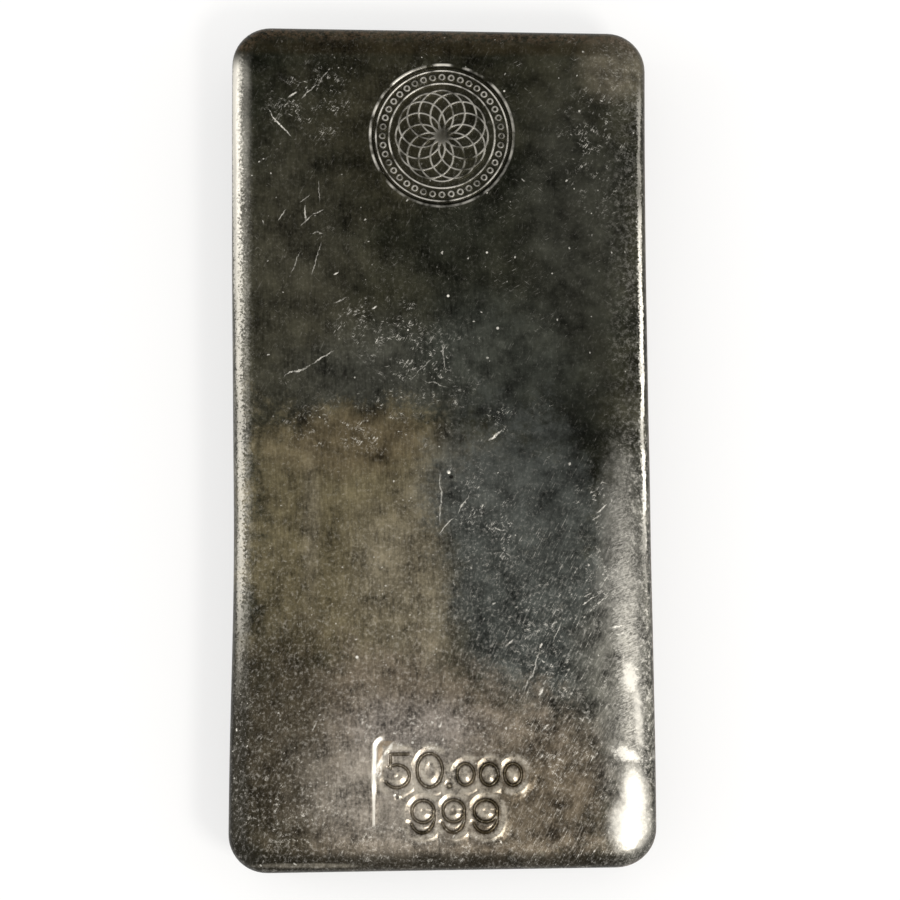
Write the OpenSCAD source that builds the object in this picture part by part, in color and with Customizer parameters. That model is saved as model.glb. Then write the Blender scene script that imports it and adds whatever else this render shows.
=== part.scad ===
// Cast silver bar of fifty troy ounces, lying on its base with the struck face up.
// Millimetres. The origin is the middle of the base, and +Y runs from the foot end,
// which carries the weight stamp, to the head end, which carries the round seal.

/* [Casting] */
// Length, end to end
bar_l = 134.8; // [110:0.2:170]
// Width, side to side
bar_w = 66.8; // [50:0.2:85]
// Thickness, from the base to the struck face
bar_h = 17.1; // [12:0.1:26]
// Radius of the four corners, seen from above
corner_r = 6.2; // [5.6:0.1:9]

/* [Section] */
// Lean of the side walls, which lets the bar out of its mould
draft = 5; // [2:0.5:9]
// Radius of the soft crown along the edge of the struck face
crown_r = 10; // [7:0.5:10.5]
// Angle through which the crown falls before it turns into the shoulder
crown_turn = 25; // [15:1:25]
// Radius of the shoulder, from the crown into the side wall
shoulder_r = 2.4; // [1.8:0.1:2.6]
// Radius of the edge round the base
base_r = 1.6; // [0.8:0.1:2.4]

/* [Round seal] */
// Radius of the sunk field of the seal
seal_r = 11.4; // [8:0.1:13]
// Depth of the sunk field
seal_depth = 0.45; // [0.2:0.05:0.8]
// Gap between the seal and the crown at the head end
seal_gap = 0.6; // [0.1:0.1:12]
// How far inside the seal's rim the middle of each raised ring runs
ring_insets = [0.8, 2.9];
// Width of a raised ring
ring_w = 0.5; // [0.3:0.05:0.8]
// Height of a raised ring above the field
ring_h = 0.3; // [0.1:0.05:0.4]

/* [Weight stamp] */
// Height of the upright edge that the stamp's block left
block_h = 12.8; // [10:0.2:18]
// Gap between the lower end of that edge and the crown at the foot end
block_gap = 0.7; // [0.5:0.1:6]
// Distance of that edge to the left of the bar's middle line
block_x = 11; // [6:0.2:18]
// Radius of the block's upper corner
block_corner_r = 2; // [1.6:0.1:5]
// Radius of the groove that the block's edge left
groove_r = 0.6; // [0.4:0.05:1]
// Depth of that groove
groove_depth = 0.3; // [0.15:0.05:0.4]

/* [Hidden] */
$fn = 48;
over = 1; // how far a cutter stands clear of the face that it cuts
hair = 0.02; // keeps the crown inside the shoulder, so that the two circles cross and don't just touch
least_flat = 0.1; // how far the flat face reaches past the core at least, however large the crown

// The corner roundings' centres are the corners of this flat core
core = [bar_w - 2 * corner_r, bar_l - 2 * corner_r];

// Arc centres and tangent points of the section, as distance out from the core and height
wall_out = [cos(draft), -sin(draft)];
crown_out = [sin(crown_turn), cos(crown_turn)];
largest_crown = shoulder_r + (corner_r - shoulder_r - hair - least_flat) / crown_out.x;
crown = min(crown_r, floor(100 * largest_crown) / 100);
crown_to_shoulder = (crown - shoulder_r) * crown_out;
shoulder_c = [corner_r - shoulder_r, bar_h - crown + crown_to_shoulder.y];
shoulder_end = shoulder_c + shoulder_r * wall_out;
crown_c = [shoulder_c.x - crown_to_shoulder.x - hair, bar_h - crown];
base_x = (shoulder_end * wall_out - base_r * (1 - sin(draft))) / cos(draft);
base_c = [base_x, base_r];
base_end = base_c + base_r * wall_out;

// Where the flat of the struck face ends, towards the head and towards the foot
flat_end = core.y / 2 + crown_c.x;

// What lies outside the core: base edge, leaning wall, shoulder and crown
module edge_section() {
    polygon([
        [0, 0], [base_x, 0], base_end, shoulder_end, shoulder_c,
        [crown_c.x, bar_h], [0, bar_h],
    ]);
    translate(base_c) circle(base_r);
    translate(shoulder_c) circle(shoulder_r);
    intersection() {
        translate(crown_c) circle(crown);
        polygon([crown_c, crown_c + 2 * crown * crown_out, crown_c + [0, 2 * crown]]);
    }
}

// A straight wall along +X, with its outer face towards +Y, and the corner at its far end
module wall_and_corner(length) {
    rotate([90, 0, 90])
        linear_extrude(length)
            edge_section();
    translate([length, 0, 0])
        rotate_extrude(angle = 90)
            edge_section();
}

module casting() {
    translate([-core.x / 2, -core.y / 2, 0])
        cube([core.x, core.y, bar_h]);
    for (turn = [0, 180])
        rotate(turn) {
            translate([-core.x / 2, core.y / 2, 0])
                wall_and_corner(core.x);
            translate([core.x / 2, core.y / 2, 0])
                rotate(-90)
                    wall_and_corner(core.y);
        }
}

// What the round die pressed in: a sunk field with two rings left standing
module seal_field() {
    translate([0, flat_end - seal_gap - seal_r, bar_h - seal_depth])
        difference() {
            cylinder(r = seal_r, h = seal_depth + over);
            for (inset = ring_insets)
                rotate_extrude()
                    translate([seal_r - inset - ring_w / 2, 0])
                        square([ring_w, ring_h]);
        }
}

// The groove along the left edge and upper corner of the weight stamp's block
module block_edge() {
    translate([-block_x, block_gap - flat_end, bar_h + groove_r - groove_depth]) {
        rotate([-90, 0, 0])
            cylinder(r = groove_r, h = block_h);
        translate([block_corner_r, block_h, 0])
            mirror([1, 0, 0])
                rotate_extrude(angle = 70)
                    translate([block_corner_r, 0])
                        circle(groove_r);
    }
}

module silver_bar() {
    color("silver")
        difference() {
            casting();
            seal_field();
            block_edge();
        }
}

silver_bar();
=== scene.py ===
import math
from types import SimpleNamespace

import bpy
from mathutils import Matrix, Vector


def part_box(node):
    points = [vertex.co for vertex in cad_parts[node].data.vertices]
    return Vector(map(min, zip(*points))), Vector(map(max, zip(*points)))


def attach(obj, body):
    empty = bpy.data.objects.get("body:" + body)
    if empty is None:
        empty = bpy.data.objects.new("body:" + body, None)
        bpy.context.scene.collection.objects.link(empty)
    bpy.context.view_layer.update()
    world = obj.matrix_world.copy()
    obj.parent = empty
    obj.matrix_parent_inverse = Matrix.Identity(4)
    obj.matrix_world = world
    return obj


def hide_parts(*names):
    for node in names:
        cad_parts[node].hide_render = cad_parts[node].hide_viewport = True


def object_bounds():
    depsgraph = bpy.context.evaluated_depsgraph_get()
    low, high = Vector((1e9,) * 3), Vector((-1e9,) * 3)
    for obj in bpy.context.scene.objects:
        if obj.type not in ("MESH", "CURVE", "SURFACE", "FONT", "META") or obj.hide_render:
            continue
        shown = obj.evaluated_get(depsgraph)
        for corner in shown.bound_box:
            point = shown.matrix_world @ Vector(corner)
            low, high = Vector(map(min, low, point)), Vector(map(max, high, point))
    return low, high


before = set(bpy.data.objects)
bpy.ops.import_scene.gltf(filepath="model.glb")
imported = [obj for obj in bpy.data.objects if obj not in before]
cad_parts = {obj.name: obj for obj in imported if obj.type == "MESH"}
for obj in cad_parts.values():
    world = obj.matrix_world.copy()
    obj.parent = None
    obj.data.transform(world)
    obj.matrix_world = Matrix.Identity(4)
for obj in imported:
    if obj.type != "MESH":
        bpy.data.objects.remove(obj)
cadLow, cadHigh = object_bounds()
mm = 0.001


class Wire:
    def __init__(self, tree, socket=None):
        self.tree = tree
        self.socket = socket

    def make(self, kind, settings=None, inputs=None, output=0):
        node = self.tree.nodes.new(kind)
        for name, value in (settings or {}).items():
            setattr(node, name, value)
        for name, value in (inputs or {}).items():
            if isinstance(value, Wire):
                self.tree.links.new(value.socket, node.inputs[name])
            else:
                node.inputs[name].default_value = value
        return Wire(self.tree, node.outputs[output] if node.outputs else None)

    def math(self, operation, *values):
        return self.make("ShaderNodeMath", {"operation": operation}, dict(enumerate(values)))

    def __add__(self, other):
        return self.math("ADD", self, other)

    def __sub__(self, other):
        return self.math("SUBTRACT", self, other)

    def __rsub__(self, other):
        return self.math("SUBTRACT", other, self)

    def __mul__(self, other):
        return self.math("MULTIPLY", self, other)

    def __pow__(self, other):
        return self.math("POWER", self, other)

    def __abs__(self):
        return self.math("ABSOLUTE", self)

    __radd__ = __add__
    __rmul__ = __mul__

    def least(self, other):
        return self.math("MINIMUM", self, other)

    def most(self, other):
        return self.math("MAXIMUM", self, other)

    def rise(self, low, high, way="SMOOTHSTEP"):  # 0 below low, 1 above high
        ends = {"Value": self, "From Min": low, "From Max": high}
        return self.make("ShaderNodeMapRange", {"interpolation_type": way}, ends)

    def fall(self, low, high, way="SMOOTHSTEP"):
        return self.rise(high, low, way)

    def between(self, low, high):  # low where the mask is 0, high where it is 1
        return self * (high - low) + low

    def swing(self, amount):  # a noise's swing to either side of nothing
        return (self - 0.5) * amount

    def parts(self):
        node = self.make("ShaderNodeSeparateXYZ", {}, {0: self}).socket.node
        return [Wire(self.tree, end) for end in node.outputs]


def away(x, y, centre):
    dx, dy = x - centre[0], y - centre[1]
    return (dx * dx + dy * dy) ** 0.5


# picking by hand

def only(*things):
    bpy.ops.object.select_all(action="DESELECT")
    for thing in things:
        thing.select_set(True)
    bpy.context.view_layer.objects.active = things[0]


def pick(piece, kind, test):
    bpy.ops.object.mode_set(mode="EDIT")
    bpy.ops.mesh.select_mode(type=kind)
    bpy.ops.mesh.select_all(action="DESELECT")
    bpy.ops.object.mode_set(mode="OBJECT")
    parts = {"VERT": piece.data.vertices, "EDGE": piece.data.edges, "FACE": piece.data.polygons}[kind]
    for part in parts:
        part.select = test(part)
    bpy.ops.object.mode_set(mode="EDIT")


# the casting: modelled in millimetres, brought to metres at the end

bar = {
    "cornerRadius": 6.2,
    "cornerSegments": 12,
    "spacing": 1.2,
    "baseSpacing": 6,
    "draft": 5,
    "crownRadius": 10,
    "crownTurn": 25,
    "shoulderRadius": 2.4,
    "baseRadius": 1.6,
    "rimSteps": 8,
    "flatMargin": 0.25,
    "band": 0.05,
    "leftPull": (-0.35, -0.15, 0.25, 0.1, -0.2, -0.35, -0.4),  # foot to head, at the left wall
    "rightPull": (0.55, 0.38, 0, -0.3, -0.6, -0.75, -0.7),
    "endSlope": 0.55,
    "wave": 0.07,
    "waveSize": 0.035,  # waves per millimetre
    "waveDetail": 2,
    "waveFrom": 6,  # below the top of the rim, where the waves and the relief begin to act
    "reliefFrom": 3,
    "easeIn": 1,
    "capNormal": 0.5,
    "flatNormal": 0.9999,
    "upNormal": 0.9,
}


def section(s, height):
    draft, turn = math.radians(s["draft"]), math.radians(s["crownTurn"])
    shoulder, crown, foot = s["shoulderRadius"], s["crownRadius"], s["baseRadius"]
    out, up = s["cornerRadius"] - shoulder, height - crown + (crown - shoulder) * math.cos(turn)
    crownOut = out - (crown - shoulder) * math.sin(turn)
    wallFoot = out + shoulder / math.cos(draft) - up * math.tan(draft)
    footOut = wallFoot - foot * (1 - math.sin(draft)) / math.cos(draft)

    def arc(centreOut, centreUp, radius, first, last, steps):
        angles = [first + (last - first) * i / steps for i in range(steps + 1)]
        return [(centreOut + radius * math.cos(a), centreUp + radius * math.sin(a)) for a in angles]

    upper = arc(out, up, shoulder, 0, math.pi / 2 - turn, s["rimSteps"])
    upper += arc(crownOut, height - crown, crown, math.pi / 2 - turn, math.pi / 2, s["rimSteps"])[1:]
    lower = [(out + shoulder, up - s["band"])] + arc(out, up, shoulder, 0, -draft, 1)[1:]
    lower += arc(footOut, foot, foot, -draft, -math.pi / 2, s["rimSteps"])
    return upper, lower


def insetAlong(points, margin):
    for (out, up), (nextOut, nextUp) in zip(points, points[1:]):
        bpy.ops.mesh.inset(thickness=out - nextOut, depth=abs(nextUp - up), use_even_offset=True)
    bpy.ops.mesh.inset(thickness=margin, depth=0)


def gridFace(piece, up, halves, spacing):  # cuts the flat cap into squares in line with its edge points
    for axis, half in enumerate(halves):
        count = round(2 * half / spacing)
        for i in range(count + 1):
            pick(piece, "FACE", lambda face: face.normal.z * up > bar["flatNormal"])
            place, turn = [0, 0, 0], [0, 0, 0]
            place[axis], turn[axis] = half * (2 * i / count - 1), 1
            bpy.ops.mesh.bisect(plane_co=place, plane_no=turn)


def castBar(s):
    low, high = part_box("silver_bar")
    width, length, height = (high - low) / mm
    upper, lower = section(s, height)
    bpy.ops.mesh.primitive_plane_add(size=1, location=(0, 0, 0))
    piece = bpy.context.object
    piece.name = "silverBar"
    bpy.ops.object.mode_set(mode="EDIT")
    bpy.ops.transform.resize(value=(width, length, 1))
    bpy.ops.transform.translate(value=(0, 0, upper[0][1]))
    bpy.ops.mesh.bevel(affect="VERTICES", offset=s["cornerRadius"], offset_type="OFFSET",
                       segments=s["cornerSegments"], profile=0.5)
    halves = [side / 2 - s["cornerRadius"] for side in (width, length)]
    for axis, half, along in ((0, width / 2, halves[1]), (1, length / 2, halves[0])):
        for place in (-half, half):
            def straight(edge):
                return all(abs(piece.data.vertices[i].co[axis] - place) < s["band"] for i in edge.vertices)
            pick(piece, "EDGE", straight)
            bpy.ops.mesh.subdivide(number_cuts=round(2 * along / s["spacing"]) - 1)
    bpy.ops.mesh.select_all(action="SELECT")
    bpy.ops.mesh.extrude_region_move(TRANSFORM_OT_translate={"value": (0, 0, -s["band"])})
    bpy.ops.mesh.select_all(action="SELECT")
    bpy.ops.mesh.normals_make_consistent(inside=False)
    for up, points, spacing in ((1, upper, s["spacing"]), (-1, lower, s["baseSpacing"])):
        pick(piece, "FACE", lambda face: face.normal.z * up > s["capNormal"])
        insetAlong(points, s["flatMargin"])
        gridFace(piece, up, halves, spacing)
    bpy.ops.object.mode_set(mode="OBJECT")
    return piece


def pullSides(piece, s):  # the casting is a little wider at its foot
    low, high = [Vector(corner) for corner in (piece.bound_box[0], piece.bound_box[6])]
    bpy.ops.object.add(type="LATTICE", location=(low + high) / 2)
    cage = bpy.context.object
    cage.scale = high - low
    rows = len(s["leftPull"])
    cage.data.points_u, cage.data.points_v, cage.data.points_w = 3, rows, 2
    cage.data.interpolation_type_u, cage.data.interpolation_type_v = "KEY_LINEAR", "KEY_CARDINAL"
    for i, point in enumerate(cage.data.points):
        column, row = i % 3, i // 3 % rows
        across = (s["leftPull"][row], 0, s["rightPull"][row])[column]
        along = s["endSlope"] * (1 - column) * (row / (rows - 1) * 2 - 1)
        move = Vector((across / cage.scale.x, along / cage.scale.y, 0))
        point.co_deform = point.co_deform + move
    only(piece)
    bend = piece.modifiers.new("pull", "LATTICE")
    bend.object = cage
    bpy.ops.object.modifier_apply(modifier="pull")
    bpy.data.objects.remove(cage)


# strokes, flat on the ground, that the relief is measured from

def joined(name, pieces):
    only(*pieces)
    bpy.ops.object.join()
    bpy.ops.object.transform_apply()
    bpy.context.object.name = name
    return bpy.context.object


def ringAt(x, y, radius, points):
    bpy.ops.mesh.primitive_circle_add(vertices=points, radius=radius, location=(x, y, 0))
    return bpy.context.object


seal = {
    "centre": (0, 49.77),
    "radius": 11.4,
    "depth": 0.45,
    "soft": 0.5,
    "lip": 0.08,
    "lipStart": 0.2,
    "rings": (10.6, 8.5),
    "ringPoints": 192,
    "petals": 12,
    "petalRadius": 3.7,
    "petalPoints": 72,
    "beads": 40,
    "beadPlace": 9.55,
    "beadRadius": 0.42,
    "beadPoints": 16,
    "lineHalfWidth": 0.3,
    "lineHeight": 0.24,
    "reach": 12.4,
}


def sealStrokes(s):
    x, y = s["centre"]
    strokes = [ringAt(x, y, radius, s["ringPoints"]) for radius in s["rings"]]
    for count, place, radius, points in ((s["petals"], s["petalRadius"], s["petalRadius"], s["petalPoints"]),
                                         (s["beads"], s["beadPlace"], s["beadRadius"], s["beadPoints"])):
        for i in range(count):
            angle = math.tau * i / count
            strokes.append(ringAt(x + place * math.cos(angle), y + place * math.sin(angle), radius, points))
    return joined("sealStrokes", strokes)


stamp = {
    "signs": (  # sign, left, right, foot, head
        ("5", -8.9, -5.1, -54.5, -49.2), ("0", -3.9, 0.1, -54.4, -49.1), (".", 1, 1.4, -54.4, -54),
        ("0", 2.4, 5.1, -54.1, -50.7), ("0", 6.1, 8.9, -54.1, -50.7), ("0", 9.9, 12.6, -54.1, -50.7),
        ("9", -4.7, -1.2, -61.6, -56.5), ("9", 0.2, 3.6, -61.5, -56.4), ("9", 5.1, 8.8, -61.5, -56.4),
    ),
    "arcs": {  # centre, half width and height, first and last degree, in a box one high and wide
        "0": ((0.5, 0.5, 0.5, 0.5, -180, 180),),
        ".": ((0.5, 0.5, 0.5, 0.5, -180, 180),),
        "5": ((0.58, 1, 0.36, 0, 0, 180), (0.22, 0.78, 0, 0.22, -90, 90),
              (0.48, 0.34, 0.52, 0.34, -150, 132)),
        "9": ((0.5, 0.66, 0.5, 0.34, -180, 180), (0.47, 0.46, 0.53, 0.46, -155, 25)),
    },
    "arcPoints": 72,
    "halfWidth": 0.34,
    "depth": 0.3,
    "lip": 0.3,
    "lipPeak": 1.1,
    "lipReach": 2.6,
    "blockLeft": -11,
    "blockFoot": -61.07,
    "blockHead": -46.27,
    "blockCorner": 2,
    "blockStep": 0.8,
    "blockDepth": 0.34,
    "blockReach": 3.4,
    "blockFootSoft": (-0.5, 1),
    "blockRight": (2, 5),  # from the block's left edge, where its upper edge fades
    "nearby": ((-14, -65), (16.5, -43)),
    "zones": (((-10.4, -56), (14.6, -47.8)), ((-6.2, -63), (10.4, -55.4))),
    "blockZone": ((-12.6, -62.4), (-8.6, -45)),
}

dents = (  # x, y, radius, depth
    (1.4, -5, 0.6, 0.28), (-7.15, -55.95, 0.45, 0.24), (8.7, 1.2, 0.9, 0.1), (-13.7, -33.9, 0.4, 0.1),
    (-10, -46.9, 0.6, 0.1), (28.8, 16.5, 0.8, 0.08), (25.3, 44.5, 0.9, 0.1), (-23.5, 15.5, 0.7, 0.06),
)

dent = {  # in radii and depths of each dent
    "lipFrom": 0.5,
    "reach": 1.8,
    "lip": 0.5,
    "hollow": 1.5,
}

finer = {  # cuts across the squares under each part of the relief
    "seal": 9,
    "nearby": 1,
    "dents": 4,
    "numerals": 5,
    "block": 2,
}


def arcAt(x, y, halfWidth, halfHeight, first, last, points):
    piece = ringAt(0, 0, 1, points)
    margin = 180 / points
    pick(piece, "VERT", lambda vertex: not first - margin < math.degrees(
        math.atan2(vertex.co.y, vertex.co.x)) < last + margin)
    bpy.ops.mesh.delete(type="VERT")
    bpy.ops.object.mode_set(mode="OBJECT")
    piece.scale = (halfWidth, halfHeight, 1)
    piece.location = (x, y, 0)
    bpy.ops.object.transform_apply()
    return piece


def stampStrokes(s):
    strokes = []
    for sign, left, right, foot, head in s["signs"]:
        wide, high = right - left, head - foot
        for x, y, halfWidth, halfHeight, first, last in s["arcs"][sign]:
            strokes.append(arcAt(left + x * wide, foot + y * high, halfWidth * wide, halfHeight * high,
                                 first, last, s["arcPoints"]))
    return joined("stampStrokes", strokes)


# pressing the strokes into the upper face

def press(piece, name, strokes, shape, least):
    tree = bpy.data.node_groups.new(name, "GeometryNodeTree")
    for way in ("INPUT", "OUTPUT"):
        tree.interface.new_socket("Geometry", in_out=way, socket_type="NodeSocketGeometry")
    start = Wire(tree)
    x, y, z = start.make("GeometryNodeInputPosition").parts()
    flat = start.make("ShaderNodeCombineXYZ", {}, {"X": x, "Y": y})
    target = start.make("GeometryNodeObjectInfo", {}, {"Object": strokes}, "Geometry")
    near = start.make("GeometryNodeProximity", {"target_element": "EDGES"}, {0: target, 2: flat}, "Distance")
    height = shape(near, x, y) * z.rise(least, least + bar["easeIn"])
    moved = start.make("GeometryNodeSetPosition", {}, {
        "Geometry": start.make("NodeGroupInput"),
        "Offset": start.make("ShaderNodeCombineXYZ", {}, {"Z": height})})
    stored = start.make("GeometryNodeStoreNamedAttribute", {"data_type": "FLOAT", "domain": "POINT"},
                        {"Geometry": moved, "Name": name, "Value": near})
    start.make("NodeGroupOutput", {}, {"Geometry": stored})
    only(piece)
    piece.modifiers.new(name, "NODES").node_group = tree
    bpy.ops.object.modifier_apply(modifier=name)


def waveFace(near, x, y):
    noise = near.make("ShaderNodeTexNoise", {}, {
        "Vector": near.make("ShaderNodeCombineXYZ", {}, {"X": x, "Y": y}),
        "Scale": bar["waveSize"], "Detail": bar["waveDetail"]})
    return (noise - 0.5) * 2 * bar["wave"]


def sealShape(near, x, y):
    s = seal
    radius = away(x, y, s["centre"])
    inside = radius.fall(s["radius"] - s["soft"], s["radius"])
    top = s["radius"] + s["lipStart"]
    lip = radius.rise(s["radius"] - s["soft"], top) * radius.fall(top, s["reach"])
    line = near.fall(0, s["lineHalfWidth"])
    return lip * s["lip"] - inside * (s["depth"] - line * s["lineHeight"])


def stampShape(near, x, y):
    s = stamp
    groove = near.fall(0, s["halfWidth"], "LINEAR")
    lip = near.rise(0, s["lipPeak"], "LINEAR") * near.fall(s["lipPeak"], s["lipReach"])
    return lip * s["lip"] - groove * s["depth"]


def blockInside(x, y):  # how far inside the rounded corner that the punch's block left
    s = stamp
    corner = s["blockCorner"]
    across, along = s["blockLeft"] + corner - x, y - (s["blockHead"] - corner)
    outer = (across.most(0) ** 2 + along.most(0) ** 2) ** 0.5
    return corner - outer - across.most(along).least(0)


def blockShape(near, x, y):
    s = stamp
    inside = blockInside(x, y)
    ends = (y - s["blockFoot"]).rise(*s["blockFootSoft"]) * (x - s["blockLeft"]).fall(*s["blockRight"])
    slope = inside.rise(0, s["blockStep"]) * inside.fall(s["blockStep"], s["blockReach"])
    return ends * slope * -s["blockDepth"]


def dentShape(near, x, y):
    s, total = dent, 0
    for px, py, radius, depth in dents:
        off = away(x, y, (px, py))
        lip = off.fall(radius * s["lipFrom"], radius * s["reach"]) * s["lip"]
        total = (lip - off.fall(0, radius) * s["hollow"]) * depth + total
    return total


def within(place, zone):
    return all(low < value < high for low, value, high in zip(zone[0], place, zone[1]))


def refine(piece, cuts, inside):
    pick(piece, "FACE", lambda face: face.normal.z > bar["upNormal"] and inside(face.center))
    bpy.ops.mesh.subdivide(number_cuts=cuts)
    bpy.ops.object.mode_set(mode="OBJECT")


def finishCasting():
    bpy.ops.object.select_all(action="DESELECT")
    piece = castBar(bar)
    pullSides(piece, bar)
    print("casting", len(piece.data.polygons), "faces")
    x, y = seal["centre"]
    refine(piece, finer["seal"], lambda place: math.hypot(place.x - x, place.y - y) < seal["reach"])
    refine(piece, finer["nearby"], lambda place: within(place, stamp["nearby"]))
    for px, py, radius, _ in dents:
        side = radius * dent["reach"]
        if not within((px, py), stamp["nearby"]):
            zone = ((px - side, py - side), (px + side, py + side))
            refine(piece, finer["dents"], lambda place: within(place, zone))
    refine(piece, finer["numerals"], lambda place: any(within(place, zone) for zone in stamp["zones"]))
    numeralsLeft = stamp["zones"][0][0][0]
    refine(piece, finer["block"], lambda place: place.x < numeralsLeft and within(place, stamp["blockZone"]))
    # the borders of the finer zones have many corners, and are split without slivers
    pick(piece, "FACE", lambda face: len(face.vertices) > 4)
    bpy.ops.mesh.quads_convert_to_tris(ngon_method="BEAUTY")
    bpy.ops.object.mode_set(mode="OBJECT")
    print("refined", len(piece.data.polygons), "faces")
    top = max(vertex.co.z for vertex in piece.data.vertices)
    sealLines = sealStrokes(seal)
    numerals = stampStrokes(stamp)
    press(piece, "waves", numerals, waveFace, top - bar["waveFrom"])
    for name, strokes, shape in (("dents", numerals, dentShape), ("sealLine", sealLines, sealShape),
                                 ("stampLine", numerals, stampShape), ("blockLine", numerals, blockShape)):
        press(piece, name, strokes, shape, top - bar["reliefFrom"])
    for strokes in (sealLines, numerals):
        bpy.data.objects.remove(strokes)
    only(piece)
    bpy.ops.object.mode_set(mode="EDIT")
    bpy.ops.mesh.select_all(action="SELECT")
    bpy.ops.transform.resize(value=(mm, mm, mm), center_override=(0, 0, 0))
    bpy.ops.object.mode_set(mode="OBJECT")
    bpy.ops.object.shade_smooth()
    print("pressed", len(piece.data.polygons), "faces")
    return piece


silverBar = finishCasting()
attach(silverBar, "root")
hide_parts("silver_bar")


# the finish: toned silver with worn rims, drawn in millimetres, with painted reflections, highlights and
# glints laid into its colour

def tone(red, green, blue):  # screen values 0 to 255 to linear light
    return [(value / 255) ** 2.2 for value in (red, green, blue)]


def colourOf(parts):
    return (*parts, 1)


def mix(factor, first, second):
    sides = {6: first, 7: second}
    sides = {i: side if isinstance(side, Wire) else colourOf(side) for i, side in sides.items()}
    return factor.make("ShaderNodeMix", {"data_type": "RGBA"}, {0: factor, **sides}, 2)


def brightest(masks):
    top = masks[0]
    for mask in masks[1:]:
        top = top.most(mask)
    return top


def noise(spot, scale, detail=3, roughness=0.55):
    return spot.make("ShaderNodeTexNoise", {}, {
        "Vector": spot, "Scale": scale, "Detail": detail, "Roughness": roughness})


def stretched(spot, turn, across, along, shift=0):
    return spot.make("ShaderNodeMapping", {"vector_type": "TEXTURE"}, {
        "Vector": spot, "Location": (shift, 0, 0), "Rotation": (0, 0, math.radians(turn)),
        "Scale": (across, along, 1)})


def axisAt(ground, place, turn, size):  # ground is (x, y, 1), so one product turns, shifts and scales
    c, s = math.cos(math.radians(turn)) / size, math.sin(math.radians(turn)) / size
    return ground.make("ShaderNodeVectorMath", {"operation": "DOT_PRODUCT"}, {
        0: ground, 1: (c, s, -place[0] * c - place[1] * s)}, "Value")


ellipse = 2  # the squareness of a plain ellipse, where higher is squarer


def patchMask(ground, ragged, place, halves, turn, square, soft):
    u, v = axisAt(ground, place, turn, halves[0]), axisAt(ground, place, turn + 90, halves[1])
    if square == ellipse:
        off = (u * u + v * v) ** 0.5
    else:
        off = (abs(u) ** square + abs(v) ** square) ** (1 / square)
    return (off + ragged).fall(1 - soft, 1 + soft)


# the places and noises that every layer of the finish reads

grain = {  # grains per millimetre, detail, roughness
    "raggedness": (0.16, 7, 0.8),
    "large": (0.07, 3, 0.55),
    "cluster": (0.12, 4, 0.7),
    "clouds": (0.13, 6, 0.62),
    "medium": (0.3, 4, 0.6),
    "dulled": (0.4, 3, 0.55),
    "smeared": (0.45, 3, 0.55),
    "scuffed": (0.45, 3, 0.7),
    "speckle": (1.3, 5, 0.8),
    "fine": (1.8, 4, 0.75),
    "speck": (2.6, 3, 0.7),
}

brushed = {  # turn, across, along, shift, detail, roughness
    "slant": (63, 1.5, 0.35, 0, 3, 0.65),
    "streak": (2, 0.4, 3.2, 0, 3, 0.65),
    "along": (0, 30, 9, 0, 3, 0.6),
    "threads": (0, 30, 6, 7, 3, 0.6),
    "strokes": (24, 1, 0.24, 3, 3, 0.65),
    "flow": (0, 9, 9, 3, 4, 0.6),
}

regions = {
    "foot": (-40, 10),  # y, all and none
    "right": (-2, 20),  # x, none and all
    "cloudy": (0.36, 0.64),
    "raggedReach": 1.5,
    "speckReach": 4,
    "broken": (0.42, 0.6),
    "topOnly": (4, 8),  # how far below the struck face
    "wall": (2.6, 4),
}


def fieldsOf(start, s):
    place = start.make("ShaderNodeTexCoord", {}, {}, "Object")
    spot = start.make("ShaderNodeMapping", {}, {"Vector": place, "Scale": (1 / mm, 1 / mm, 1 / mm)})
    x, y, z = spot.parts()
    f = SimpleNamespace(start=start, spot=spot, x=x, y=y, drop=cadHigh.z / mm - z)
    f.ground = start.make("ShaderNodeCombineXYZ", {}, {"X": x, "Y": y, "Z": 1})
    for name, settings in grain.items():
        setattr(f, name, noise(spot, *settings))
    for name, (turn, across, along, shift, detail, roughness) in brushed.items():
        setattr(f, name, noise(stretched(spot, turn, across, along, shift), 1, detail, roughness))
    f.cloud = f.clouds.rise(*s["cloudy"])
    f.ragged = f.raggedness.swing(s["raggedReach"])
    f.speck = f.speck.swing(s["speckReach"])
    f.broken = f.fine.rise(*s["broken"])
    f.foot, f.right = y.fall(*s["foot"]), x.rise(*s["right"])
    f.footRight = f.foot * f.right
    f.topOnly, f.wall = f.drop.fall(*s["topOnly"]), f.drop.rise(*s["wall"])
    return f


def spread(f, everywhere, foot, right, both):  # a strength, with what the foot, the right and both add
    total = everywhere
    for field, amount in ((f.foot, foot), (f.right, right), (f.footRight, both)):
        if amount:
            total = field * amount + total
    return total


# the toning: a dark olive ground with patches of lighter and darker tone; the patches, and part of the
# ground's darkness, are painted reflections of the surroundings, laid on as tone

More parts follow.
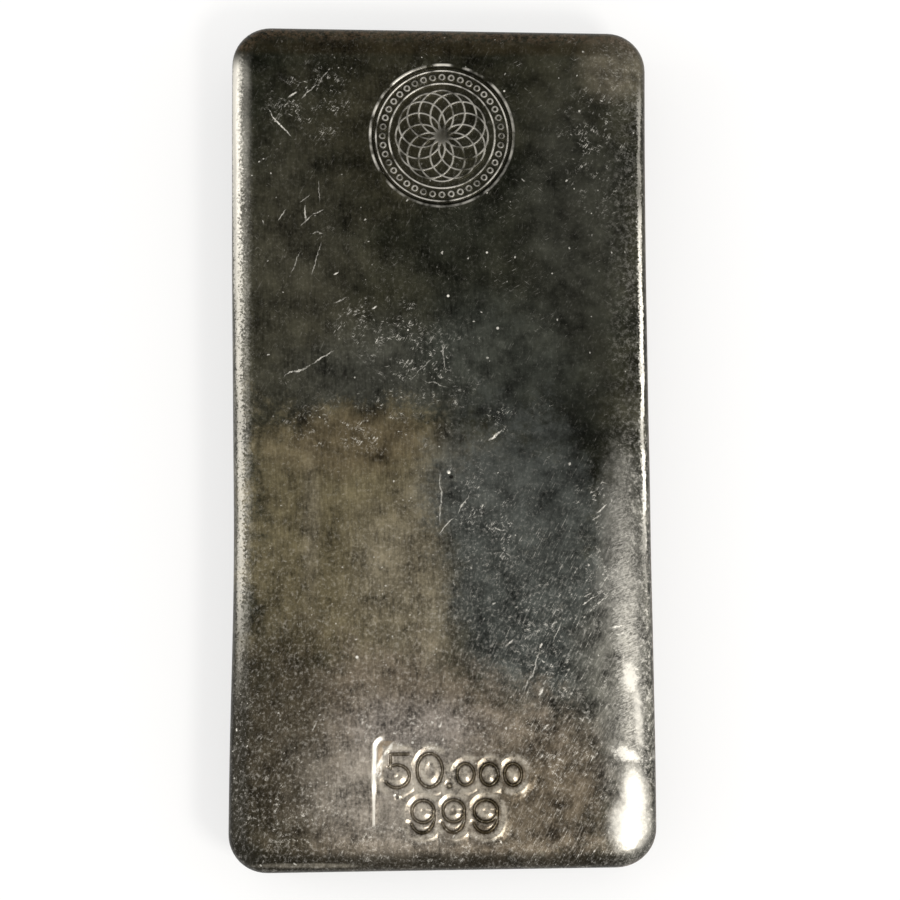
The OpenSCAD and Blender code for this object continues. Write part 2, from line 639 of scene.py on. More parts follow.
tonesAndReflections = {
    "dark": tone(31, 32, 26),
    "olive": tone(48, 47, 38),
    "oliveRise": (0.35, 0.65),
    "shades": {  # how strongly each noise shades the metal: everywhere, foot, right, both
        "fine": (0.924, 1.276, -0.4158, -0.5742),
        "medium": (2, 0, 0, 1.5),
        "slant": (0, 0.5, 0, 1.6),
        "streak": (1.3, 0, -0.9, 0),
        "cloud": (0.6, -0.3, 0, 0),
    },
    "leastShade": 0.25,
    "reflectionPatches": (  # x, y, half width, half length, turn, squareness, colour, strength, soft edge: painted reflections of the surroundings, laid on as tone
        (-23, 24, 10, 26, 0, 2, tone(58, 56, 47), 0.75, 0.6),
        (-8, 11, 17, 8, 10, 2, tone(61, 61, 55), 0.8, 0.6),
        (21, 34, 8, 24, 0, 2, tone(56, 56, 50), 0.7, 0.6),
        (4, 30, 9, 14, 0, 2, tone(36, 37, 32), 0.7, 0.6),
        (9, 13, 12, 9, -20, 2, tone(58, 60, 55), 0.7, 0.6),
        (19, 2, 7, 7, 0, 2, tone(33, 34, 30), 0.95, 0.5),
        (-15, -15, 15.5, 20, 0, 5, tone(91, 84, 65), 0.95, 0.2),
        (-20.8, -14, 1.3, 14, 0, 2, tone(108, 101, 86), 0.5, 0.7),
        (-14, 0, 12, 5, 0, 2, tone(82, 73, 57), 0.7, 0.5),
        (-6, -26, 9, 18, -4, 2, tone(108, 101, 86), 0.7, 0.5),
        (-17, -31, 9, 8, 0, 2, tone(80, 73, 56), 0.5, 0.7),
        (4, -6, 8, 7, 0, 2, tone(86, 83, 74), 0.7, 0.5),
        (14, -20, 13, 24, 12, 3, tone(64, 66, 63), 0.92, 0.25),
        (-2, -54, 27, 18, -14, 3, tone(99, 90, 78), 0.92, 0.3),
        (-25, -50, 8, 22, 0, 2, tone(58, 53, 43), 0.85, 0.5),
        (-8, -54, 12, 10, 0, 2, tone(131, 124, 114), 0.8, 0.6),
        (-4, -45, 10, 4, 0, 2, tone(124, 117, 110), 0.7, 0.7),
        (15, -56, 9, 8, 0, 2, tone(82, 74, 62), 0.85, 0.5),
        # painted highlight: the light column along the lower right crown
        (29, -32, 4, 26, 0, 2, tone(108, 106, 100), 0.8, 0.6),
        (26, -36, 5, 9, 0, 2, tone(96, 94, 86), 0.5, 0.6),
        # painted highlight: the thin bright line on the foot's shoulder
        (-20.5, -66.7, 7.5, 0.35, 0, 2, tone(210, 200, 180), 0.9, 0.5),
        (27.8, 61, 4.5, 5, -40, 2, tone(100, 94, 80), 0.8, 0.6),
        (-8, 51, 12, 13, 0, 2, tone(50, 47, 37), 0.5, 0.5),
        (0, 64, 30, 1, -0.5, 4, tone(46, 41, 30), 0.7, 0.6),
    ),
}


def toneAndPaintReflections(f, s):
    colour = mix(f.large.rise(*s["oliveRise"]), s["dark"], s["olive"])
    for x, y, across, along, turn, square, reflectionTone, strength, soft in s["reflectionPatches"]:
        mask = patchMask(f.ground, f.ragged, (x, y), (across, along), turn, square, soft) * strength
        colour = mix(mask, colour, reflectionTone)
    shade = 1
    for name, amounts in s["shades"].items():
        shade = getattr(f, name).swing(spread(f, *amounts)) + shade
    return colour.make("ShaderNodeVectorMath", {"operation": "SCALE"}, {
        0: colour, "Scale": shade.most(s["leastShade"])})


# scratches, scuffs and flecks, and two painted glints

scratches = (  # x, y, length, turn, width, strength
    (-26, 52, 6.4, -47, 0.13, 0.8), (-24, 56.5, 1.8, 30, 0.16, 0.7), (-21.2, 57, 3.4, 38, 0.11, 0.5),
    (-18.7, 59.4, 3, 56, 0.11, 0.5), (-22.9, 11.7, 5.6, 20, 0.14, 0.6), (-18.8, 13.9, 5.2, 36, 0.13, 0.6),
    (-0.3, -8.4, 10, 90, 0.14, 0.4), (0.9, -13.2, 4.8, 52, 0.14, 0.5), (3.6, -9.2, 5.4, 64, 0.13, 0.5),
    (-3, 12, 6, 40, 0.1, 0.3), (-1, 9.5, 5, -20, 0.1, 0.3), (0.3, 14, 6, 88, 0.12, 0.35),
    (8.6, 1.4, 3, 35, 0.26, 0.8), (-22, 39.4, 2.4, 34, 0.13, 0.5), (-21.8, 36.9, 4, 92, 0.16, 0.6),
    (-21.6, 35.6, 3, 44, 0.13, 0.5), (-19.7, 37, 2.2, 22, 0.14, 0.5), (-19.7, 40.7, 4.6, 92, 0.11, 0.4),
    (-25.6, 36.8, 2.8, 58, 0.14, 0.5), (-20, 33.8, 2.4, 13, 0.1, 0.4), (-23.4, 29.2, 3.4, 65, 0.11, 0.5),
    (-20, 30, 6, 76, 0.1, 0.45), (-16.3, 23.4, 2.8, 18, 0.14, 0.45), (-16.9, 27.1, 1.1, 20, 0.16, 0.8),
    (-10.8, 22.1, 1.3, 25, 0.18, 0.8), (25.4, -10, 2.8, 38, 0.14, 0.7), (24.6, -11.4, 2, 40, 0.14, 0.6),
    (23.2, -25.2, 2.6, 40, 0.13, 0.8), (23.9, -24.6, 2.4, 40, 0.11, 0.7), (22.9, -24.1, 1.5, 40, 0.13, 0.8),
    (25.2, -25, 1.8, 42, 0.12, 0.7), (27.8, -28.9, 3, 6, 0.2, 1), (28.6, -30.2, 2.2, -8, 0.2, 0.9),
    (18.2, -29.9, 4.4, 66, 0.1, 0.45),
    (14.3, -36.3, 8.6, 68, 0.17, 0.4), (10.6, -31.6, 1.9, 38, 0.2, 0.7), (15.6, -32.3, 1.4, 65, 0.18, 0.8),
    (15.8, -39.6, 1.8, 62, 0.24, 0.7), (16.2, -45.2, 2.2, 45, 0.2, 0.7), (-20.1, -44.7, 2, 65, 0.16, 0.5),
    # the last two marks on the next line are painted glints on the slope left of the 5, not scratches
    (-0.2, -44.7, 1.3, 50, 0.2, 0.8), (-9.7, -51.6, 4.6, 80, 0.7, 1), (-8.4, -48.6, 3.4, 50, 0.4, 0.9),
)

scuffs = (  # x, y, half width, half length, turn: where fine scratches crowd
    (-3, 11, 7, 6, 0), (8.6, 2, 2.4, 4, -20), (25, -9, 4, 3, 0), (20, -33, 8, 12, 20), (-21, 55, 6, 5, 0),
    (27, -24, 5, 14, 0), (-13, 3, 12, 4, 0), (25, 48, 5, 10, 0), (7, -12, 5, 8, 30),
    (-2, -63, 13, 4, 0), (20, -52, 8, 7, 0), (-10, 19, 8, 5, 0), (-2, -46, 16, 4, 0), (-24, -58, 7, 6, 0),
)

dots = (  # x, y, radius, how bright, below 0 for a dark pit of painted shade
    (1, 23.8, 0.26, 0.9), (8.9, 18.6, 0.28, 0.6), (-13.4, -33.9, 0.3, 0.8), (-9.6, -46.9, 0.26, 0.8),
    # at the dents near (1.4, -5) and (-7.15, -55.95), the dark pit and the bright dot beside it are painted
    # shade and painted highlight
    (-4.6, -47.4, 0.28, 0.6), (1.5, -5.2, 0.42, -0.8), (-7, -56.1, 0.3, -0.6), (-7.4, -55.7, 0.28, 0.9),
    (1.1, -4.5, 0.34, 0.6), (7.2, 30.8, 0.22, 0.7), (10, 57, 0.2, 0.7), (-5.4, 18.3, 0.18, 0.7),
)

marks = {
    "busy": (0.45, 0.62),
    "roundFleck": (1.1, 0.22, 0.05),  # places per millimetre, radius, the share of places filled
    "roundStrength": 0.5,
    "longFleck": (2.3, 0.26, 0.25),
    "longStretch": (52, 1.9, 0.8),  # turn, across, along
    "longStrength": (0.14, 0.5, -0.07, -0.25),  # everywhere, foot, right, both
    "fleckCore": 0.4,
    "fleckSure": 0.5,
    "hairWidth": 0.16,
    "hairGrain": (2, 0.5),  # detail, roughness
    "hairEdge": 0.08,
    "hairs": (  # turn, length, shift, how rare; strength everywhere, foot, right, both; only in busy places
        ((62, 3.4, 0, 0.63), (0.06, 0, 0, 0.5), False),
        ((28, 1.8, 5, 0.65), (0.12, 0, 0.2, 0), True),
        ((-40, 2, 9, 0.66), (0.2, 0, 0, 0), True),
        ((88, 2.4, 13, 0.65), (0.06, 0.15, 0, 0), False),
    ),
    "scuffHairs": ((58, 1.7, 21, 0.57), (-25, 1.1, 33, 0.6), (15, 1, 41, 0.6)),
    "scuffSoft": 0.6,
    "scuffPatchy": (0.48, 0.66),
    "scuffStrength": 0.6,
    "bend": (1.6, 0.8),  # how far a scratch strays, across and along
    "scratchCore": (0.1, 1),
    "faint": (0.4, 0.55),
    "faintest": 0.4,
    "chipped": (0.32, 0.5),
    "dotCore": 0.5,
}


def scratchMask(ground, mark, core):
    x, y, length, turn, width, strength = mark
    u, v = axisAt(ground, (x, y), turn, length / 2), axisAt(ground, (x, y), turn + 90, width)
    return (u * u + v * v).fall(*core) * strength


def fleck(spot, s, scale, size, amount):  # scattered small bright spots
    cells = spot.make("ShaderNodeTexVoronoi", {"feature": "F1"}, {"Vector": spot, "Scale": scale})
    place = spot.make("ShaderNodeTexVoronoi", {"feature": "F1"}, {"Vector": spot, "Scale": scale}, "Position")
    chance = place.make("ShaderNodeTexWhiteNoise", {}, {"Vector": place})
    return cells.fall(size * s["fleckCore"], size) * chance.fall(amount * s["fleckSure"], amount)


def hair(spot, s, turn, length, shift, rare):  # fine scratches that run one way
    drawn = noise(stretched(spot, turn, length, s["hairWidth"], shift), 1, *s["hairGrain"])
    return drawn.rise(rare, rare + s["hairEdge"])


def dotMask(f, s, bright):
    return brightest([away(f.x, f.y, (x, y)).fall(radius * s["dotCore"], radius) * abs(strength)
                      for x, y, radius, strength in dots if (strength > 0) == bright])


def brightMarks(f, s):
    busy = f.cluster.rise(*s["busy"])
    shift = f.spot.make("ShaderNodeTexNoise", {}, {"Vector": f.spot, "Scale": 1, "Detail": 1}, "Color")
    shaken = f.spot.make("ShaderNodeVectorMath", {"operation": "ADD"}, {0: f.spot, 1: shift})
    found = [fleck(shaken, s, *s["roundFleck"]) * s["roundStrength"]]
    longFlecks = fleck(stretched(shaken, *s["longStretch"]), s, *s["longFleck"])
    found.append(longFlecks * spread(f, *s["longStrength"]) * busy)
    for shape, strength, onlyBusy in s["hairs"]:
        mask = hair(f.spot, s, *shape) * spread(f, *strength) * f.broken
        found.append(mask * busy if onlyBusy else mask)
    crowd = brightest([patchMask(f.ground, f.ragged, (x, y), (across, along), turn, ellipse, s["scuffSoft"])
                       for x, y, across, along, turn in scuffs])
    crowded = brightest([hair(f.spot, s, *shape) for shape in s["scuffHairs"]])
    patchy = f.scuffed.rise(*s["scuffPatchy"])
    found.append(crowded * crowd * f.broken * patchy * s["scuffStrength"])
    across, along = s["bend"]
    bent = f.start.make("ShaderNodeCombineXYZ", {}, {
        "X": f.x + f.medium.swing(across), "Y": f.y + f.cloud.swing(along), "Z": 1})
    drawn = brightest([scratchMask(bent, mark, s["scratchCore"]) for mark in scratches])
    drawn = drawn * f.slant.rise(*s["faint"]).between(s["faintest"], 1) * f.fine.rise(*s["chipped"])
    return brightest(found + [drawn * f.topOnly, dotMask(f, s, True)])


# the rims and walls, with worn metal, painted highlights and painted dark reflections along the rims: a pair
# is where a thing begins and ends; a drop is how far below the struck face

leftRim = {
    # the left rim: a bright band and a grey speckled shoulder, worn metal lightened where a highlight lay:
    # partly painted highlight
    "side": (-31, -27),
    "headEnd": (60, 64),
    "headward": (2, 56),
    "start": (-46, -14),
    "bright": (0.35, 0.6, 0.25),  # everywhere, from the noise, more towards the head
    "loose": (12, 62),
    "bandDrop": (1.1, 0.6, 0.6),  # at the foot, more towards the head, how far it wanders
    "bandWidth": (0.75, 1.85),  # at the foot and at the head
    "bandGain": 1.15,
    "bandSpeck": (0.25, 0.85),  # at the head and at the foot
    "bandRise": (0.4, 1.05),
    "bandStrength": (0.58, 0.88),
    "dustDrop": (0, 0.55),
    "dustEnd": (2.2, 3.6),
    "dustGain": 0.7,
    "dustSpeck": (0.15, 0.6),
    "dustRise": (0.1, 1.2),
    "dustStrength": (0.02, 0.32),
    "dustSoft": (0, 0.65),
    "dustPatchy": (0.35, 0.65),
    "dustUneven": (0.6, 1.2),
    # dark: painted dark reflection on the lower left rim and along the foot's rim
    "dark": tone(36, 34, 28),
    "darkReflectionDrop": (0.05, 0.6),
    "darkReflectionEnd": (3.5, 6),
    "darkReflectionPlace": (-46, -22),
    "darkStrength": 0.95,
    "footDarkReflection": (-65.9, -63.5),
    "footDarkReflectionEnd": (25.5, 31.5),
    "footDarkReflectionStrength": 0.8,
}

rightRim = {
    "side": (26, 30),
    # a thin bright line along the right shoulder: painted highlight
    "threadDrop": 1.15,
    "threadWander": 0.8,
    "threadWidth": 0.5,
    "threadGain": 1.1,
    "threadSpeck": 0.6,
    "threadRise": (0.4, 1),
    "threadBreaks": (0.4, 0.56),
    "threadFaintest": 0.45,
    "fades": (32, 40),
    "fadedTo": 0.3,
    "start": (-28, -2),
    "end": (54, 60),
    "threadStrength": 0.95,
    "dustSide": (24.5, 31.5),
    "dustSpeckle": (0.46, 0.7),
    "dustPlace": (-12, 10),
    "dustStrength": (0.16, 0.46),
    # the column: a painted highlight down the lower right crown
    "column": ((29.4, -31), (2, 20), 3, 2, 0.8),  # place, halves, turn, squareness, soft edge
    "columnGain": (0.55, 1.8, 0.3),  # from the column, the strokes and the specks
    "columnRise": (0.05, 1.15),
    "columnEdge": (0, 0.5),
    "columnPlace": (-36, -12),
    "columnStrength": (0.4, 0.7),
    "corner": ((28, 61), (5, 5), 0, 2, 0.6),
    "cornerGain": (0.3, 0.6),
    "cornerRise": (0.3, 1.2),
    "cornerStrength": 0.4,
    "glareEdge": (0.5, 1.4),  # how far large and small raggedness reach
    "glareSoft": 0.6,
    "glares": (  # painted highlights where a lamp glared on the lower right crown: x, y, half width, half length, turn, strength, how ragged
        (29.7, -60.2, 2.7, 3.5, 0, 1, 0.8), (30.4, -56, 1.75, 4.8, 4, 1, 0.8),
        (29.5, -49.4, 2.2, 1, -22, 0.9, 2.6), (29.8, -36.8, 1, 2.5, 8, 0.8, 3.4),
        (31, -43, 0.6, 5, 4, 0.6, 2.4),
    ),
    "brown": tone(96, 80, 64),
    "brownDrop": (1.9, 2.7),
    "brownFades": (4, 12),
    "brownStrength": (0.75, 0.3),
    "headBrown": (62, 65),
    "headBrownDrop": (1.3, 0.2, 1),  # middle, whole, gone
    "headBrownSpeckle": (0.4, 0.62),
    "headBrownStrength": 0.6,
}

walls = {
    "colour": tone(104, 98, 86),
    "strength": 0.35,
    "uneven": 1.6,
    "flow": (0.52, 0.66),
    "speckle": (0.52, 0.74),
    "patchy": (0.42, 0.6),
    "dust": 0.12,
}


# wear along the left rim, partly painted highlight: the band follows a line of equal slope on the shoulder,
# brighter towards the head
def leftWearAndHighlight(f, s):
    headward = f.y.rise(*s["headward"])
    everywhere, uneven, more = s["bright"]
    high = f.y.rise(*s["start"]) * (f.along * uneven + headward * more + everywhere)
    loose = f.y.fall(*s["loose"])
    drop, towards, wander = s["bandDrop"]
    off = abs(f.drop - drop - headward * towards - f.along.swing(wander))
    band = off.fall(0, headward.between(*s["bandWidth"])) * s["bandGain"]
    band = (band + f.speck * loose.between(*s["bandSpeck"])).rise(*s["bandRise"])
    band = band * high * headward.between(*s["bandStrength"])
    shoulder = f.drop.rise(*s["dustDrop"]) * f.drop.fall(*s["dustEnd"])
    dust = shoulder * s["dustGain"] + f.speck * loose.between(*s["dustSpeck"])
    dust = dust.rise(*s["dustRise"]) * high.between(*s["dustStrength"]) * f.drop.rise(*s["dustSoft"])
    return band.most(dust * f.medium.rise(*s["dustPatchy"]).between(*s["dustUneven"]))


# wear along the right rim with painted highlights: a thin bright line, a lit column and lamp glares
def rightWearAndHighlight(f, s):
    highlightLine = abs(f.drop - s["threadDrop"] - f.threads.swing(s["threadWander"])).fall(0, s["threadWidth"])
    highlightLine = (highlightLine * s["threadGain"] + f.speck * s["threadSpeck"]).rise(*s["threadRise"])
    highlightLine = highlightLine * f.threads.rise(*s["threadBreaks"]).between(s["threadFaintest"], 1)
    highlightLine = highlightLine * f.y.fall(*s["fades"]).between(s["fadedTo"], 1)
    highlightLine = highlightLine * f.y.rise(*s["start"]) * f.y.fall(*s["end"]) * s["threadStrength"] * f.x.rise(*s["side"])
    dust = f.x.rise(*s["dustSide"]) * f.speckle.rise(*s["dustSpeckle"])
    dust = dust * f.y.fall(*s["dustPlace"]).between(*s["dustStrength"])
    column = patchMask(f.ground, f.ragged, *s["column"])
    own, stroke, speck = s["columnGain"]
    columnHighlight = (column * own + f.strokes.swing(stroke) + f.speck * speck).rise(*s["columnRise"])
    columnHighlight = columnHighlight * column.rise(*s["columnEdge"])
    columnHighlight = columnHighlight * f.y.fall(*s["columnPlace"]).between(*s["columnStrength"])
    corner = patchMask(f.ground, f.ragged, *s["corner"])
    own, speck = s["cornerGain"]
    brightMetal = (corner * own + f.speck * speck).rise(*s["cornerRise"]) * corner * s["cornerStrength"]
    wide, small = s["glareEdge"]
    edgy = f.ragged * wide + f.speckle.swing(small)
    soft = s["glareSoft"]
    glare = [patchMask(f.ground, edgy * rag, (x, y), (across, along), turn, ellipse, soft) * strength
             for x, y, across, along, turn, strength, rag in s["glares"]]
    return brightest([highlightLine, dust, columnHighlight, brightMetal] + glare)


def leftSide(f):
    return f.x.fall(*leftRim["side"]) * f.y.fall(*leftRim["headEnd"])


def rimWearAndHighlight(f):
    rims = (leftWearAndHighlight(f, leftRim) * leftSide(f)).most(rightWearAndHighlight(f, rightRim)) * f.topOnly
    long = f.flow.rise(*walls["flow"]) * f.broken
    dusty = f.speckle.rise(*walls["speckle"]) * f.cluster.rise(*walls["patchy"])
    return rims.most(f.wall * long.most(dusty) * walls["dust"])


def rimTintAndDarkReflection(f, colour):
    s = leftRim
    colour = mix(f.wall * (f.flow.swing(walls["uneven"]) + walls["strength"]), colour, walls["colour"])
    # painted dark reflection: the lower left rim and the foot's rim darkened where they mirrored something
    # dark
    dark = leftSide(f) * f.drop.rise(*s["darkReflectionDrop"]) * f.drop.fall(*s["darkReflectionEnd"])
    dark = dark * f.y.fall(*s["darkReflectionPlace"]) * s["darkStrength"]
    dark = dark.most(f.y.fall(*s["footDarkReflection"]) * f.x.fall(*s["footDarkReflectionEnd"]) * s["footDarkReflectionStrength"])
    colour = mix(dark, colour, s["dark"])
    s = rightRim
    brown = f.x.rise(*s["side"]) * f.drop.rise(*s["brownDrop"])
    brown = brown * f.drop.rise(*s["brownFades"]).between(*s["brownStrength"])
    middle, whole, gone = s["headBrownDrop"]
    head = f.y.rise(*s["headBrown"]) * abs(f.drop - middle).fall(whole, gone)
    brown = brown.most(head * f.speckle.rise(*s["headBrownSpeckle"]) * s["headBrownStrength"])
    return mix(brown, colour, s["brown"])


# the pressed seal and stamp

sealFinish = {
    "dark": tone(36, 34, 27),
    "darkStrength": 0.35,
    "edge": 0.4,
    "ringOff": 1.05,  # from the ring of beads to the raised rings
    "ringWidth": (0.3, 0.34),
    "litReach": 13,
    "lit": (0.6, 1.1),
    "crestLine": (0.04, 0.2),
    "crestWorn": (0.26, 0.6),
    "crest": (0.45, 0.4),  # everywhere, more on the rings
    "middle": (0.4, 2.4),
    "middleStrength": 0.15,
    "crestStrength": 0.74,
    "rimOff": 0.1,
    "rimWidth": (0.05, 0.3),
    "rimStrength": 0.6,
    "rimWorn": (0.35, 0.65),
}

stampFinish = {
    "groove": tone(96, 86, 62),
    "grooveWidth": 0.3,
    "grooveStrength": 0.45,
    "upperDrop": (1, 3),
    # pillow: the raised ground around the numerals, worn bright and lightened where their glints lay: partly
    # painted highlight
    "pillow": tone(200, 190, 172),
    "pillowStart": (0.3, 0.8),
    "pillowEnd": (1, 1.9),
    "pillowWorn": (0.35, 0.6),
    "pillowStrength": 0.5,
    "lineOff": 0.3,  # the block's bright line, inside its edge: a painted highlight on the step the block left
    "lineStrays": ((-54, -48), 0.15),  # y, how far inwards
    "lineWidth": ((-58, -53), (0.3, 0.55)),  # y, at the foot and above
    "lineCore": 0.08,
    "linePlace": (2.5, 4),  # from the block's left edge, where its upper edge fades
    "lineSooner": (1, 2.2),
    "footSoft": 1,
    "lineStrength": ((-58, -54), (0.5, 0.95)),
    "tan": tone(150, 132, 108),
    "tanStart": (0.7, 1),
    "tanEnd": (1.4, 2),
    "tanPlace": (-54, -51),
    "tanStrength": 0.6,
    "glossy": (1.2, 2.6),
}


# the seal's darker field, and painted glints on its raised lines and rim, brighter towards the upper left;
# breaks in them are wear
def sealFieldAndGlints(f, s, line):
    core = away(f.x, f.y, seal["centre"])
    inside = core.fall(seal["radius"] - s["edge"], seal["radius"])
    rings = abs(abs(core - seal["beadPlace"]) - s["ringOff"]).fall(*s["ringWidth"])
    up = seal["centre"][1]
    lit = (f.y - f.x).rise(up - s["litReach"], up + s["litReach"]).between(*s["lit"])
    everywhere, more = s["crest"]
    crest = line.fall(*s["crestLine"]) * inside * f.dulled.rise(*s["crestWorn"])
    crest = crest * (rings * more * lit + everywhere) * s["crestStrength"]
    crest = crest * core.rise(*s["middle"]).between(s["middleStrength"], 1)
    rim = abs(core - (seal["radius"] + s["rimOff"])).fall(*s["rimWidth"]) * lit * s["rimStrength"]
    return inside, crest.most(rim * f.dulled.rise(*s["rimWorn"]))


def stampHighlightAndTan(f, s):
    inside = blockInside(f.x, f.y)
    place, inwards = s["lineStrays"]
    off = abs(inside - s["lineOff"] - f.y.rise(*place) * inwards)
    place, widths = s["lineWidth"]
    line = off.fall(s["lineCore"], f.y.rise(*place).between(*widths))
    across = f.x - stamp["blockLeft"]
    ends = f.y.rise(stamp["blockFoot"], stamp["blockFoot"] + s["footSoft"]) * across.fall(*s["linePlace"])
    place, strengths = s["lineStrength"]
    line = line * ends * across.fall(*s["lineSooner"]) * f.y.rise(*place).between(*strengths)
    tan = f.topOnly * inside.rise(*s["tanStart"]) * inside.fall(*s["tanEnd"]) * ends
    return line, tan * f.y.rise(*s["tanPlace"]) * s["tanStrength"]


# sheen, dust and the small unevenness that the light catches

surface = {
    "sheen": tone(172, 168, 160),
    "sheenSlant": (0.54, 0.7),
    "sheenSlantStrength": (0, 0.1, 0, 0.2),  # everywhere, foot, right, both
    "sheenFine": (0.52, 0.68),
    "sheenFineStrength": 0.3,
    "sheenStrength": (0.14, 0.96, -0.042, -0.288),
    "dust": tone(140, 137, 124),
    "dustSpeckle": (0.5, 0.7),
    "dustCluster": (0.5, 0.62),
    "dustStrength": (0.09, 0.23, 0, 0),
    # bright metal: the colour of worn metal, and of the painted highlights and glints
    "brightMetal": tone(236, 231, 219),
    "dentShade": tone(20, 18, 14),
    "rimCentre": (0.85, -0.85),  # where the flat face ends and the rim begins
    "rimHalves": (30.15, 63.65),
    "rimCorner": 4,
    "rimWander": 1.5,
    "fineHeight": 0.5,
    "mediumHeight": 1.2,
    "streakHeight": 0.3,
    "rimRough": ((-1, 1), (1, 2.5)),  # how much rougher beyond the step
    "rimStep": ((-0.4, 0.4), 0.9),
    "bump": 0.55,
    "bumpHeight": 0.05,
    "roughness": 0.28,
    "roughFine": 0.16,
    "roughMedium": 0.1,
    "smoothRims": 0.06,
    "smoothStamp": 0.12,
}


def unevenness(f, s):
    centre, halves, corner = s["rimCentre"], s["rimHalves"], s["rimCorner"]
    across = abs(f.x - centre[0]) - (halves[0] - corner)
    along = abs(f.y - centre[1]) - (halves[1] - corner)
    step = (across.most(0) ** 2 + along.most(0) ** 2) ** 0.5 - corner + f.medium.swing(s["rimWander"])
    place, rougher = s["rimRough"]
    height = (f.fine * s["fineHeight"] + f.medium * s["mediumHeight"]) * step.rise(*place).between(*rougher)
    place, up = s["rimStep"]
    height = height + f.streak * s["streakHeight"] + step.rise(*place) * up
    return f.start.make("ShaderNodeBump", {}, {
        "Strength": s["bump"], "Distance": s["bumpHeight"] * mm, "Height": height}, "Normal")


def tonedSilverWithPaintedLight(s):
    material = bpy.data.materials.new("tonedSilverWithPaintedLight")
    material.use_nodes = True
    material.node_tree.nodes.clear()
    start = Wire(material.node_tree)
    f = fieldsOf(start, regions)
    sealLine, stampLine = [start.make("ShaderNodeAttribute", {"attribute_name": name}, {}, "Fac")
                           for name in ("sealLine", "stampLine")]
    rims = rimWearAndHighlight(f)
    inSeal, sealBright = sealFieldAndGlints(f, sealFinish, sealLine)
    stampBright, tan = stampHighlightAndTan(f, stampFinish)
    p = stampFinish
    upperFace = f.drop.fall(*p["upperDrop"])
    groove = stampLine.fall(0, p["grooveWidth"]) * upperFace
    pillow = stampLine.rise(*p["pillowStart"]) * stampLine.fall(*p["pillowEnd"])
    pillow = pillow * f.smeared.rise(*p["pillowWorn"])
    sheen = f.slant.rise(*s["sheenSlant"]) * spread(f, *s["sheenSlantStrength"])
    sheen = (sheen + f.fine.rise(*s["sheenFine"]) * s["sheenFineStrength"]) * spread(f, *s["sheenStrength"])
    dust = f.speckle.rise(*s["dustSpeckle"]) * f.cluster.rise(*s["dustCluster"])
    dust = dust * spread(f, *s["dustStrength"])
    # the bright layer: worn metal, scratches and flecks, with painted highlights and glints on the rims, seal
    # and stamp
    bright = brightest([rims, brightMarks(f, marks), stampBright.most(sealBright) * f.topOnly])
    colour = rimTintAndDarkReflection(f, toneAndPaintReflections(f, tonesAndReflections))
    for mask, layer in ((inSeal * sealFinish["darkStrength"], sealFinish["dark"]),
                        (pillow * p["pillowStrength"], p["pillow"]), (tan, p["tan"]),
                        (groove * p["grooveStrength"], p["groove"]), (sheen, s["sheen"]), (dust, s["dust"]),
                        (bright, s["brightMetal"]), (dotMask(f, marks, False), s["dentShade"])):
        colour = mix(mask, colour, layer)
    glossy = stampLine.fall(*p["glossy"]) * upperFace
    dull = f.fine * s["roughFine"] + f.medium * s["roughMedium"] + s["roughness"]
    dull = dull - rims * s["smoothRims"] - glossy * s["smoothStamp"]
    shader = start.make("ShaderNodeBsdfPrincipled", {}, {
        "Base Color": colour, "Metallic": 1, "Roughness": dull, "Normal": unevenness(f, s)})
    start.make("ShaderNodeOutputMaterial", {}, {"Surface": shader})
    return material


silverBar.data.materials.clear()
silverBar.data.materials.append(tonedSilverWithPaintedLight(surface))
print("finish done")


# floor, light and camera

studio = {
    "floorSize": 6,
    "floor": (0.9, 0.9, 0.9),
    "floorRoughness": 0.8,
    "floorWhite": 0.6,  # how white the floor looks beyond what the lamps give it
    "world": (1, 0.99, 0.97),
    "worldStrength": 0.85,
    "lamps": (  # name, place, size, power, colour
        ("leftBox", (-0.7, 0.05, 0.4), (0.36, 0.7), 1.5, (1, 0.98, 0.95)),
        ("rightStrip", (0.8, 0, 0.2), (0.16, 0.7), 1.5, (1, 0.98, 0.95)),
        ("nearRightBox", (0.32, -0.32, 0.78), (0.16, 0.16), 2.6, (1, 0.97, 0.92)),
    ),
    "distance": 0.7,
    "elevation": 83.5,
    "lens": 176.2,
    "nearest": 0.01,
    "aim": (0.0013, -0.00095, 0.0171),
}


def seenBy(start):
    looked, mirrored, through = [start.make("ShaderNodeLightPath", {}, {}, way)
                                 for way in ("Is Camera Ray", "Is Glossy Ray", "Is Transmission Ray")]
    return looked.most(mirrored).most(through)


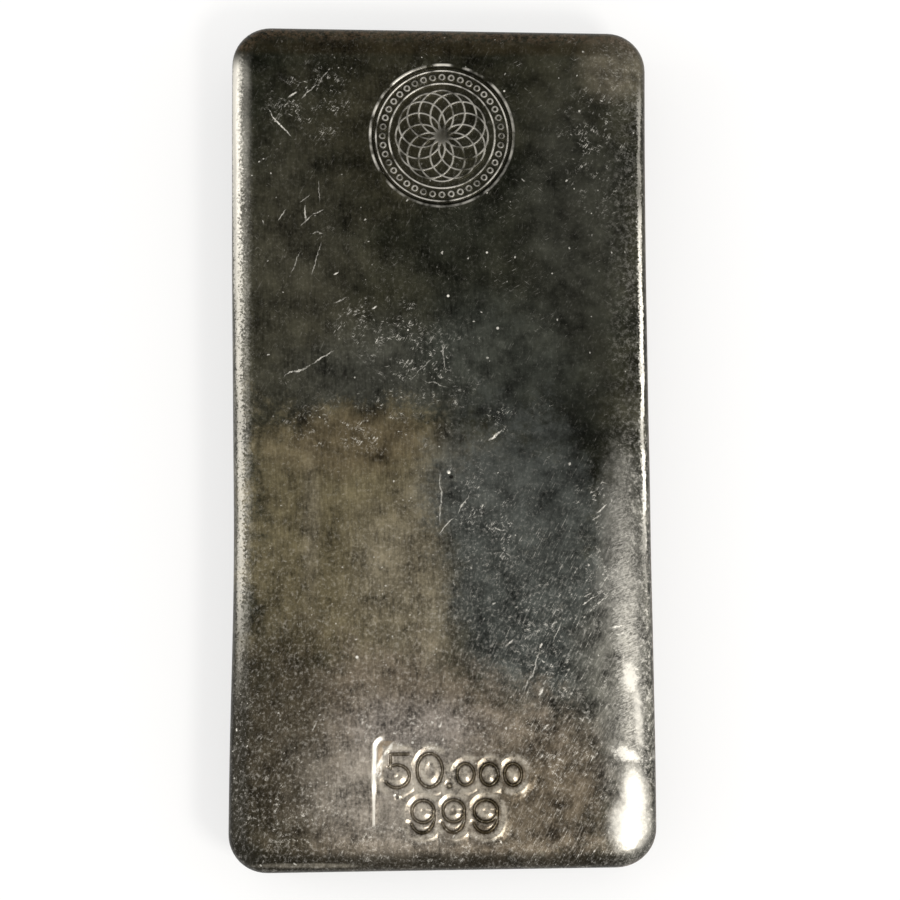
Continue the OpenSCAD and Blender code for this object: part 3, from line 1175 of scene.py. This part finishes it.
def studioLight(s):
    world = bpy.data.worlds.new("studio")
    bpy.context.scene.world = world
    world.use_nodes = True
    world.node_tree.nodes.clear()
    start = Wire(world.node_tree)
    around = start.make("ShaderNodeBackground", {}, {
        "Color": colourOf(s["world"]), "Strength": s["worldStrength"]})
    white = start.make("ShaderNodeBackground", {}, {"Color": (1, 1, 1, 1), "Strength": 1})
    both = start.make("ShaderNodeMixShader", {}, {0: seenBy(start), 1: around, 2: white})
    start.make("ShaderNodeOutputWorld", {}, {"Surface": both})
    for name, place, size, power, colour in s["lamps"]:
        bpy.ops.object.light_add(type="AREA", location=place)
        lamp = bpy.context.object
        lamp.name = name
        lamp.data.shape = "RECTANGLE"
        lamp.data.size, lamp.data.size_y = size
        lamp.data.energy = power
        lamp.data.color = colour
        lamp.rotation_euler = (-Vector(place)).to_track_quat("-Z", "Y").to_euler()


def paleFloor(s):
    bpy.ops.mesh.primitive_plane_add(size=s["floorSize"], location=(0, 0, 0))
    floor = bpy.context.object
    floor.name = "floor"
    material = bpy.data.materials.new("paleFloor")
    material.use_nodes = True
    material.node_tree.nodes.clear()
    start = Wire(material.node_tree)
    lit = start.make("ShaderNodeBsdfPrincipled", {}, {
        "Base Color": colourOf(s["floor"]), "Roughness": s["floorRoughness"]})
    white = start.make("ShaderNodeEmission", {}, {"Color": (1, 1, 1, 1), "Strength": 1})
    both = start.make("ShaderNodeMixShader", {}, {0: seenBy(start) * s["floorWhite"], 1: lit, 2: white})
    start.make("ShaderNodeOutputMaterial", {}, {"Surface": both})
    floor.data.materials.append(material)
    return floor


def lookDown(s):
    tilt = math.radians(s["elevation"])
    aim = Vector(s["aim"])
    place = aim + s["distance"] * Vector((0, -math.cos(tilt), math.sin(tilt)))
    bpy.ops.object.camera_add(location=place)
    camera = bpy.context.object
    camera.rotation_euler = (aim - place).to_track_quat("-Z", "Y").to_euler()
    camera.data.lens = s["lens"]
    camera.data.clip_start = s["nearest"]
    bpy.context.scene.camera = camera


studioLight(studio)
paleFloor(studio)
lookDown(studio)
bpy.context.scene.view_settings.view_transform = "Standard"

print("ready")
